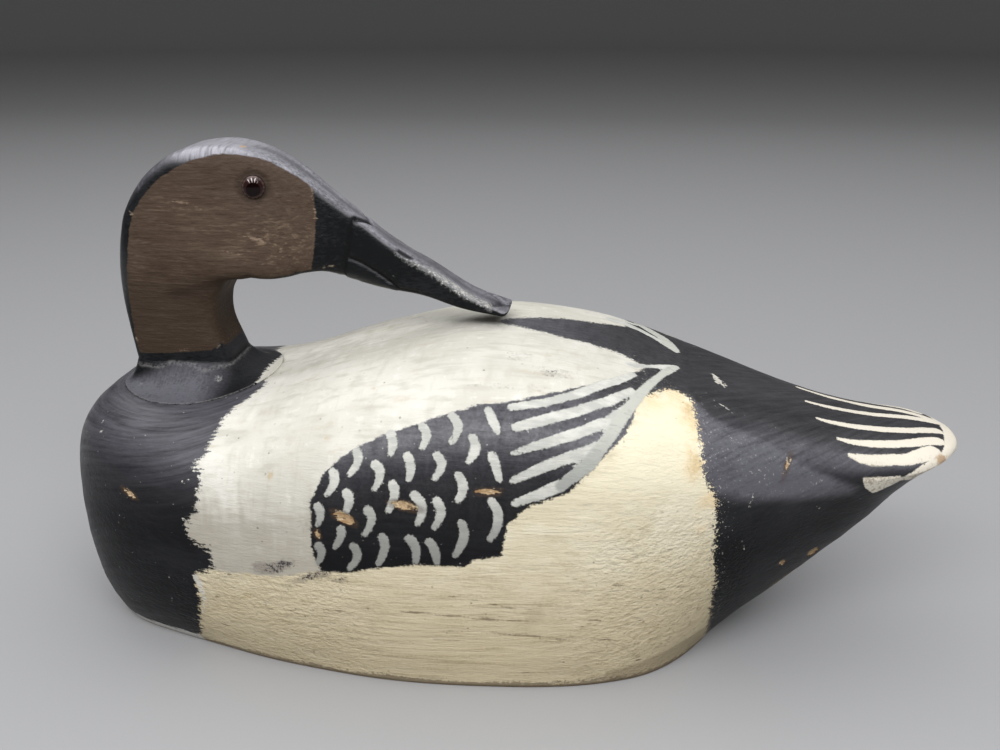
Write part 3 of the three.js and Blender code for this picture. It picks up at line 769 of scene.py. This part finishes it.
def body_material():
    material, p, shader = new_material("painted_body")
    streak = p.noise((38, 420, 420), 4.0, 0.6)
    cross = p.noise((230, 65, 45), 3.0, 0.5, 21.0)
    fine = p.noise((260, 1100, 1100), 3.0, 0.6, 3.0)
    grit = p.noise((700, 700, 700), 3.0, 0.65, 7.0)
    cloud = p.noise((22, 30, 30), 3.0, 0.55, 1.0)
    blot = p.noise((75, 120, 120), 4.0, 0.6, 5.0)
    bristle = p.noise((60, 600, 600), 3.0, 0.6, 9.0)
    lines = p.noise((20, 480, 480), 5.0, 0.68, 12.0, 0.35)
    speckle = p.noise((1500, 1500, 1500), 2.0, 0.6, 11.0)
    height = p.axis("Z")
    along_x = p.axis("X")
    low = 1 - height.step(0.025, 0.095)

    # Pale back: warm white brushed over grey both along and across, with painted shade making it greyer low down
    brush = p.noise((55, 240, 240), 3.0, 0.5, 15.0)
    white = p.mix(cloud.step(-0.25, 0.3), (0.60, 0.577, 0.50), (0.71, 0.688, 0.61))
    white = p.mix((brush + blot * 0.8).step(0.0, 0.55) * 0.5, white, (0.45, 0.43, 0.355))
    white = p.mix((cross - blot * 0.6).step(0.05, 0.6) * 0.4, white, (0.49, 0.465, 0.385))
    white = p.mix((brush * 0.6 - blot).step(0.15, 0.6) * 0.45, white, (0.54, 0.485, 0.365))
    white = p.mix((0 - cross - brush + grit * 0.3).step(0.2, 0.7) * 0.5, white, (0.80, 0.778, 0.70))
    shade = 1 - height.step(0.055, 0.105)
    white = p.mix((shade + streak * 0.4 + cross * 0.3 - blot * 0.2).step(0.15, 0.9) * 0.75, white, (0.40, 0.362, 0.29))
    # Painted shadow of the head and bill: the white greyer along the top of the back
    white = p.mix((height + cloud * 0.01).step(0.128, 0.14) * 0.2, white, (0.40, 0.40, 0.34))

    # Flank: cream over wood, browner and grained towards the bottom edge
    cream = p.mix((blot + cloud).step(-0.3, 0.4), (0.735, 0.66, 0.475), (0.81, 0.745, 0.57))
    cream = p.mix(low * 0.8, cream, (0.60, 0.505, 0.325))
    cream = p.mix((lines + grit * 0.3).step(0.0, 0.4) * (0.28 + low * 0.32), cream, (0.36, 0.29, 0.17))
    cream = p.mix((0 - lines + grit * 0.3).step(0.1, 0.45) * 0.35, cream, (0.86, 0.795, 0.61))
    cream = p.mix((cloud * 0.7 - blot).step(0.15, 0.55) * 0.4, cream, (0.43, 0.36, 0.24))
    cracks = p.noise((9, 520, 520), 4.0, 0.55, 30.0)
    cream = p.mix((cracks + blot * 0.3).step(0.34, 0.5) * (0.35 + low * 0.5), cream, (0.15, 0.11, 0.065))
    grain = (p.layer("grain") + streak * 1.2 + grit * 0.5).step(-0.4, 0.4)
    cream = p.mix(grain * 0.7, cream, (0.13, 0.095, 0.06))
    # Painted highlight: the top of the cream flank lighter
    flank_highlight = p.layer("flank").step(0.0, 8.0) * (height + cloud * 0.012).step(0.080, 0.104)
    cream = p.mix(flank_highlight * 0.8, cream, (0.84, 0.775, 0.575))
    stain = (1 - (0 - p.layer("rump")).step(1.0, 13.0)) * (blot + height * 5 - 0.42).step(-0.05, 0.35)
    cream = p.mix(stain * 0.55, cream, (0.78, 0.57, 0.29))
    # Painted shade on the bevel below the rump
    bevel = (p.layer("bevel") + streak * 1.5).step(-0.6, 0.6)
    cream = p.mix(bevel * 0.7, cream, (0.36, 0.295, 0.19))

    # Black: thin over a dark ground, greyer where it is rubbed, lighter with dust and painted sheen where it faces up
    # and on the side of the rump, brushed in rings round the foot of the head
    rings = p.node("ShaderNodeCombineXYZ", inputs={0: p.layer("foot"), 1: p.layer("round_foot"), 2: 0.0})
    swirl = p.noise((0.42, 1.6, 1.0), 4.0, 0.62, 2.0, at=rings)
    slant = p.node("ShaderNodeCombineXYZ", inputs={0: along_x * 1000 - p.layer("girth"), 1: along_x * 1000 + p.layer("girth")})
    slanted = p.noise((0.03, 0.3, 1.0), 4.0, 0.65, 6.0, at=slant)
    sweep = p.mix(along_x.step(-0.1, -0.09), swirl, streak * 0.35 + cross * 0.35 + grit * 0.4)
    sweep = p.mix(along_x.step(0.075, 0.09), sweep, slanted * 0.7 + cloud * 0.3 + grit * 0.15)
    black = p.mix((bristle * 0.5 + cloud).step(-0.2, 0.5), (0.006, 0.0062, 0.007), (0.014, 0.0145, 0.0165))
    # Dust and painted sheen lighten the black where it faces up and on the side of the rump
    dust = p.layer("dust") * (1 + sweep * 1.05 + bristle * 0.3 + grit * 0.25)
    black = p.mix(dust, black, (0.105, 0.103, 0.117))
    front = 1 - along_x.step(0.05, 0.09)
    black = p.mix((0 - sweep - cloud * 0.7).step(0.1, 0.7) * (0.12 + front * 0.2), black, (0.012, 0.012, 0.014))
    black = p.mix((fine * 0.5 + bristle).step(0.42, 0.75) * 0.3 * height.step(0.05, 0.1), black, (0.10, 0.10, 0.11))

    low_dab = 1 - height.step(0.066, 0.1)
    pale_paint = p.mix((blot + bristle * 0.5).step(-0.3, 0.4), (0.47, 0.47, 0.425), (0.64, 0.635, 0.575))
    pale_paint = p.mix(low_dab * 0.8, pale_paint, (0.27, 0.272, 0.25))
    band = p.mix((height + blot * 0.008).step(0.1, 0.122), (0.35, 0.355, 0.325), (0.50, 0.505, 0.445))
    band = p.mix((bristle + blot * 0.6 + grit * 0.4).step(0.0, 0.5) * 0.5, band, (0.30, 0.305, 0.28))
    pale_paint = p.mix(p.layer("band").step(-0.8, 0.8), pale_paint, band)
    low_tail = p.math("ABSOLUTE", p.layer("girth")).step(33.0, 42.0)
    mottle = (blot * 1.2 + grit * 1.4 + speckle * 0.5 - 0.35 + low_tail * 0.5).step(0.0, 0.7)
    tail = p.mix(mottle * (0.3 + low_tail * 0.5), (0.72, 0.67, 0.56), (0.28, 0.235, 0.175))
    pale_paint = p.mix(along_x.step(0.12, 0.128), pale_paint, tail)

    splinter = p.noise((90, 800, 800), 3.0, 0.7, 4.0)
    wood = p.mix(splinter.step(-0.3, 0.25), (0.58, 0.435, 0.26), (0.32, 0.195, 0.095))
    wood = p.mix((bristle + grit).step(0.15, 0.4) * 0.7, wood, (0.72, 0.62, 0.44))
    wood = p.mix((0 - splinter - grit * 0.5).step(0.12, 0.3) * 0.8, wood, (0.10, 0.055, 0.03))

    ragged = bristle * 4.4 + grit * 2.6 + speckle * 1.2
    flank = (p.layer("flank") + streak * 1.8 + grit * 1.2).step(-0.6, 0.6)
    breast = (p.layer("breast") + ragged).step(-0.8, 0.8)
    rump = (p.layer("rump") + grit * 4.2 + speckle * 3.0 + bristle * 1.2 - 0.2).step(-0.6, 0.6)
    wing = (p.layer("wing") + blot * 1.2 + bristle * 1.3 + grit * 1.2 + speckle * 0.8).step(-0.5, 0.5)
    dark = breast.at_least(rump).at_least(wing)
    pale = (p.layer("pale") + blot * 0.6 + grit * 0.7 + speckle * 0.7).step(-0.3, 0.4)
    dry = (bristle + grit * 0.6 + speckle * 0.6 - p.layer("pale") * 0.25).step(0.2, 0.7)
    pale = pale * (1 - dry * 0.5 - low_dab * (1 - along_x.step(0.12, 0.128)) * 0.15)

    dirt = (p.layer("dirt") + (streak + grit) * 0.6 - 0.45).step(0.0, 0.6)
    ground = p.mix(flank, white, cream)
    ground = p.mix(dirt * 0.5, ground, (0.17, 0.145, 0.13))
    dashes = (p.layer("dirt") * 1.1 + bristle * 1.4 + speckle * 1.3 + grit * 0.6 - 1.3).step(0.0, 0.12)
    ground = p.mix(dashes * 0.85, ground, (0.022, 0.018, 0.026))
    tan = (p.layer("tan") + (blot + grit) * 0.5 - 0.3).step(0.0, 0.6)
    ground = p.mix(tan * 0.6, ground, (0.50, 0.36, 0.17))
    pepper = (p.specks(190.0, 0.14) + grit * 0.5).step(0.55, 0.9) * (blot + 0.05).step(0.0, 0.3)
    ground = p.mix(pepper * 0.55, ground, (0.10, 0.08, 0.06))
    colour = p.mix(dark, ground, black)
    corner = along_x.step(-0.02, 0.0) * (1 - along_x.step(0.012, 0.03)) * (1 - height.step(0.052, 0.066))
    brushed = corner * (1 - p.layer("wing").step(1.0, 6.0)) * (bristle + blot + grit * 0.6).step(-0.1, 0.5)
    colour = p.mix(brushed * wing * 0.5, colour, (0.33, 0.31, 0.27))
    colour = p.mix(pale, colour, pale_paint)
    colour = p.mix(tan * pale * along_x.step(0.15, 0.16) * 0.7, colour, (0.36, 0.20, 0.08))
    near_edge = 1 - p.layer("rump").step(2.0, 20.0)
    worn = (p.specks(330.0, 0.2, 2.0) + grit * 1.2).step(1.0, 1.4) * (blot - 0.1 + near_edge * 0.3).step(0.05, 0.3)
    dotted = (speckle + grit * 0.6 + near_edge * 0.45 - 0.76).step(0.0, 0.15) * along_x.step(0.05, 0.06)
    scratched = (slanted * 0.5 + grit * 0.6 + speckle * 0.6 + p.layer("dust") * 0.25 - 0.48).step(0.0, 0.2) * (1 - front)
    worn = worn.at_least(dotted).at_least(scratched * 0.6)
    nicked = (p.layer("nicks") + grit * 1.6 + bristle * 1.2 - 0.2).step(0.0, 0.5)
    worn = worn * dark * (1 - pale) * 0.8
    colour = p.mix(worn, colour, (0.50, 0.48, 0.43))
    colour = p.mix(nicked * 0.9, colour, (0.66, 0.63, 0.55))

    chip = (p.layer("chips") + grit * 0.8 + splinter * 1.1).step(-0.1, 0.2)
    rim = (p.layer("chips") + grit * 0.6 + bristle * 0.7).step(-1.1, -0.2) * (1 - chip)
    colour = p.mix(rim * 0.45, colour, (0.07, 0.04, 0.022))
    colour = p.mix(chip, colour, wood)

    # Bottom edge rubbed through to the ground coat, and the bare sawn underside
    edge = (0.0032 + dark * 0.0016 - height + streak * 0.003 + grit * 0.0022).step(0.0, 0.0012)
    colour = p.mix(edge * 0.85, colour, p.mix(dark, (0.24, 0.19, 0.125), (0.72, 0.70, 0.65)))
    under = 1 - height.step(0.0001, 0.0004)
    board = p.mix(lines.step(-0.2, 0.35), (0.42, 0.30, 0.18), (0.25, 0.165, 0.09))
    colour = p.mix(under * (0.75 + blot * 0.3).step(0.3, 0.5), colour, board)

    shiny = dark * (1 - pale) * (1 - chip)
    gloss = 0.6 - shiny * 0.2 + blot * 0.06 + sweep * shiny * 0.1 + chip * 0.2 + under * 0.15
    coat = shiny * height.step(0.06, 0.11) * (0.6 + sweep * 1.3)
    cream_side = p.layer("flank").step(-0.6, 0.6)
    ripple = p.noise((380, 620, 620), 2.0, 0.6, 8.0) * cream_side * (1 - height.step(0.07, 0.1))
    ripple = ripple * (1 - along_x.step(-0.07, -0.03) * (1 - along_x.step(0.02, 0.06)) * 0.8)
    relief = streak * 0.3 + fine * 0.25 + lines * cream_side * 0.6 + ripple * 1.1 + cross * 0.2
    relief = relief + p.layer("pale").step(-0.5, 0.5) * 0.4 - (p.layer("chips") + splinter * 1.1).step(-0.1, 0.2)
    normal = p.bump(relief, 0.0004)
    connect(
        p, shader, Base_Color=colour, Roughness=gloss, Normal=normal, Coat_Weight=coat, Coat_Roughness=0.36, IOR=1.22
    )
    return material


def head_material():
    material, p, shader = new_material("painted_head")
    streak = p.noise((34, 420, 420), 4.0, 0.6, 2.0)
    across = p.noise((900, 90, 90), 3.0, 0.6, 14.0)
    fine = p.noise((300, 1100, 1100), 3.0, 0.6, 3.0)
    grit = p.noise((800, 800, 800), 3.0, 0.65, 7.0)
    blot = p.noise((55, 110, 110), 4.0, 0.6, 5.0)
    cloud = p.noise((30, 30, 30), 3.0, 0.55, 1.0)
    height = p.axis("Z")
    along_x = p.axis("X")

    thread = p.noise((70, 900, 900), 3.0, 0.6, 17.0)
    brown = p.mix(blot.step(-0.4, 0.4), (0.072, 0.046, 0.031), (0.092, 0.062, 0.042))
    brown = p.mix(streak.step(0.0, 0.5) * 0.4, brown, (0.115, 0.083, 0.058))
    brown = p.mix((thread + fine * 0.5).step(0.0, 0.5) * 0.5, brown, (0.155, 0.115, 0.083))
    brown = p.mix((0 - thread - fine * 0.6).step(0.05, 0.5) * 0.55, brown, (0.036, 0.024, 0.016))
    brown = p.mix((cloud + blot * 0.6).step(0.0, 0.6) * 0.4, brown, (0.052, 0.034, 0.023))
    tan = p.layer("tan") * (thread + fine * 0.7 + blot * 0.6).step(0.0, 0.5)
    brown = p.mix(tan * 0.65, brown, (0.23, 0.165, 0.11))
    # Painted shade: the brown darker down the neck
    neck = 1 - (height + cloud * 0.012).step(0.145, 0.18)
    brown = p.mix(neck * 0.68, brown, (0.034, 0.022, 0.014))
    brown = p.mix((height + blot * 0.01).step(0.188, 0.21) * 0.4, brown, (0.038, 0.024, 0.016))
    # Painted shade darkens the brown in the jaw hollow and round the eye
    brown = p.mix(p.layer("hollow") * 0.45, brown, (0.022, 0.014, 0.010))
    scuff = (p.layer("scuffs") + streak * 2.2 + thread * 1.6 + grit * 1.2 - 0.3).step(-0.1, 0.8)
    brown = p.mix(scuff * 0.6, brown, (0.29, 0.21, 0.15))

    black = p.mix((fine + cloud).step(-0.1, 0.5), (0.005, 0.0055, 0.006), (0.013, 0.0135, 0.015))
    # Dust and painted sheen lighten the black where it faces up
    black = p.mix(p.layer("dust") * (1 + across * 0.5 + blot * 0.6 + grit * 0.7), black, (0.115, 0.113, 0.128))
    # Painted highlights: sheen along the top facets of the forehead and bill, and the crown lighter, partly wear and
    # partly painted sheen
    crown_sheen_and_wear = (height + cloud * 0.004).step(0.2115, 0.219) * (1 - (along_x + blot * 0.02).step(-0.125, -0.1))
    gleam = p.layer("sheen") * (fine * 0.8 + grit * 1.2 + blot * 0.8 + 0.5).step(-0.3, 1.4)
    black = p.mix(gleam * 0.68, black, (0.42, 0.41, 0.45))
    black = p.mix(crown_sheen_and_wear * (0.62 + across * 0.7).step(0.1, 0.8) * 0.85, black, (0.43, 0.42, 0.46))
    # Light scratches on the parts facing up, partly wear and partly painted sheen
    scratched = (across * 0.7 + grit * 0.8 + blot).step(0.25, 0.6) * p.layer("dust") * height.step(0.18, 0.2)
    black = p.mix(scratched * 0.6, black, (0.36, 0.355, 0.39))
    # Painted highlights along the seam round the foot and along the edge at the bottom of the neck
    seam = p.layer("seam") * (streak * 0.6 + grit + 0.3).step(0.0, 0.5)
    black = p.mix(seam * 0.6, black, (0.20, 0.19, 0.185))
    speckle = p.noise((1500, 1500, 1500), 2.0, 0.6, 11.0)
    rubbed = (p.layer("wear") + grit * 2.4 + blot * 1.6 + speckle + 0.4).step(0.0, 1.4)
    black = p.mix(rubbed * 0.5, black, (0.26, 0.26, 0.25))
    wear = (p.layer("wear") * 0.5 + grit * 3.0 + speckle * 2.0 + blot * 1.2 - 0.9).step(0.0, 0.6) * p.layer("wear").step(-0.5, 0.5)
    black = p.mix(wear * 0.8, black, (0.56, 0.54, 0.48))
    flecks = (p.specks(300.0, 0.22, 4.0) + grit * 0.8).step(0.8, 1.2) * (blot - 0.1).step(0.05, 0.3)
    black = p.mix(flecks * 0.55, black, (0.36, 0.35, 0.34))
    black = p.mix(scuff * 0.6, black, (0.30, 0.24, 0.17))

    lapped = (along_x * 1000 + 112 + streak * 3 + grit * 2.5).step(-0.4, 0.4) * (1 - height.step(0.122, 0.125))
    black = p.mix(lapped, black, (0.60, 0.577, 0.50))

    cheek = (p.layer("brown") + streak * 0.8 + grit * 0.5).step(-0.35, 0.35)
    colour = p.mix(cheek, black, brown)
    # Painted shade: the carved grooves, notch, nostril and tip gouges nearly black
    colour = p.mix(p.layer("groove") * 0.95, colour, (0.003, 0.003, 0.003))
    colour = p.mix((p.layer("chip") + grit * 0.7).step(-0.1, 0.3), colour, (0.50, 0.33, 0.16))
    shiny = (1 - cheek) * (1 - lapped) * (1 - p.layer("groove"))
    gloss = 0.38 + cheek * 0.24 + blot * 0.06 + fine * 0.06
    coat = shiny * (1 - p.layer("rim").step(0.86, 1.0)) * height.step(0.135, 0.165) * 0.9
    relief = streak * (0.35 + cheek * 0.6) + fine * 0.4 + grit * 0.15 + across * crown_sheen_and_wear * 0.5
    normal = p.bump(relief, 0.0003)
    connect(
        p, shader, Base_Color=colour, Roughness=gloss, Normal=normal, Coat_Weight=coat, Coat_Roughness=0.34, IOR=1.24
    )
    return material


def eye_material():
    """Dark pupil, brown iris with fine rays and a pale ring, by the distance from the eye's axis; the rays and the ring
    are lighter at the top as a painted highlight.
    """
    material, p, shader = new_material("glass_eye")
    radius, pupil = p.layer("spread"), p.layer("pupil")
    turn = p.math("ARCTAN2", p.layer("up"), p.layer("across"))
    rays = p.math("SINE", turn * 15.0 + 1.6 + p.noise((300, 300, 300), 2.0, 0.5) * 1.5)
    lit = p.layer("up").step(1.6, 3.2) * (1 - (p.layer("across") * p.layer("across")).step(2.5, 6.0))
    iris = p.mix(rays.step(0.2, 1.0) * lit, (0.022, 0.010, 0.009), (0.66, 0.56, 0.53))
    ring = p.mix(rays.step(-0.5, 0.9) * 0.1 + lit * 0.35, (0.050, 0.030, 0.026), (0.30, 0.235, 0.215))
    iris = p.mix(radius.step(4.0, 4.3), iris, ring)
    colour = p.mix(1 - pupil.step(2.9, 3.2), iris, (0.005, 0.0015, 0.0015))
    colour = p.mix(radius.step(4.75, 4.95), colour, (0.02, 0.014, 0.012))
    connect(p, shader, Base_Color=colour, Roughness=0.15, Coat_Weight=0.2, Coat_Roughness=0.03, IOR=1.15)
    return material


def plain_material(name, colour, roughness):
    material, p, shader = new_material(name)
    connect(p, shader, Base_Color=(*colour, 1), Roughness=roughness)
    return material


def aim(thing, target):
    thing.rotation_euler = (Vector(target) - thing.location).to_track_quat("-Z", "Y").to_euler()


def soft_light(name, place, target, size, power, tint=(1, 1, 1)):
    light = bpy.data.lights.new(name, "AREA")
    light.shape, light.size, light.size_y = "RECTANGLE", *size
    light.energy, light.color = power, tint
    made = bpy.data.objects.new(name, light)
    bpy.context.scene.collection.objects.link(made)
    made.location = place
    made.visible_camera = False
    aim(made, target)
    return made


def make_stage():
    """Pale round floor that curves up far away on every side: level, then a quarter circle, then a wall."""
    t = np.linspace(0, np.pi / 2, 13)
    far, bend, rise = 4.2, 1.2, 2.6
    reach = np.concatenate([[0.001, far], far + bend * np.sin(t[1:]), [far + bend]])[:, None]
    z = np.concatenate([[0, 0], bend * (1 - np.cos(t[1:])), [rise]])[:, None]
    turn = np.linspace(0, 2 * np.pi, 96, endpoint=False)[None]
    points = np.stack(np.broadcast_arrays(reach * np.cos(turn), reach * np.sin(turn), z - 0.0004), -1)
    number = np.arange(points[..., 0].size).reshape(points.shape[:2])
    after = np.roll(number, -1, 1)
    faces = np.stack([number[:-1], after[:-1], after[1:], number[1:]], -1).reshape(-1, 4)
    mesh = bpy.data.meshes.new("floor")
    mesh.from_pydata(points.reshape(-1, 3).tolist(), [], faces.tolist())
    mesh.polygons.foreach_set("use_smooth", np.ones(len(faces), bool))
    mesh.materials.append(plain_material("pale_floor", (0.37, 0.37, 0.37), 0.9))
    floor = bpy.data.objects.new("floor", mesh)
    bpy.context.scene.collection.objects.link(floor)


def make_camera():
    camera = bpy.data.cameras.new("camera")
    camera.lens, camera.sensor_width = 41.4, 36.0
    camera.clip_start, camera.clip_end = 0.01, 50
    made = bpy.data.objects.new("camera", camera)
    made.location = (0.051, -0.494, 0.291)
    made.rotation_euler = (math.radians(70.6), 0, math.radians(6.3))
    bpy.context.scene.collection.objects.link(made)
    bpy.context.scene.camera = made


make_camera()
make_stage()
soft_light("softbox_front", (0.0, -1.0, 1.05), (0, 0, 0.1), (1.6, 0.5), 18, (0.965, 0.97, 1))
soft_light("softbox_above", (0.0, -0.05, 1.35), (0, -0.05, 0.0), (2.8, 2.4), 27, (0.965, 0.97, 1))
soft_light("softbox_back", (0.0, 1.7, 0.75), (0, 0, 0.15), (2.6, 0.6), 1.2, (0.965, 0.97, 1))
world = bpy.data.worlds.new("studio")
world.use_nodes = True
world.node_tree.nodes["Background"].inputs["Color"].default_value = (1, 1, 1, 1)
world.node_tree.nodes["Background"].inputs["Strength"].default_value = 0.14
bpy.context.scene.world = world
bpy.context.scene.view_settings.view_transform = "Standard"

body = make_body(body_material())
head = make_head(head_material())
glass = eye_material()
right_eye = make_eye("glass_eye_right", -1, glass)
left_eye = make_eye("glass_eye_left", 1, glass)
for piece, node, finish in (
    (body, "body", "body_paint"),
    (head, "head", "head_paint"),
    (right_eye, "right_eye", "eye_glass"),
    (left_eye, "left_eye", "eye_glass"),
):
    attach(piece, "root")
    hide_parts(node)
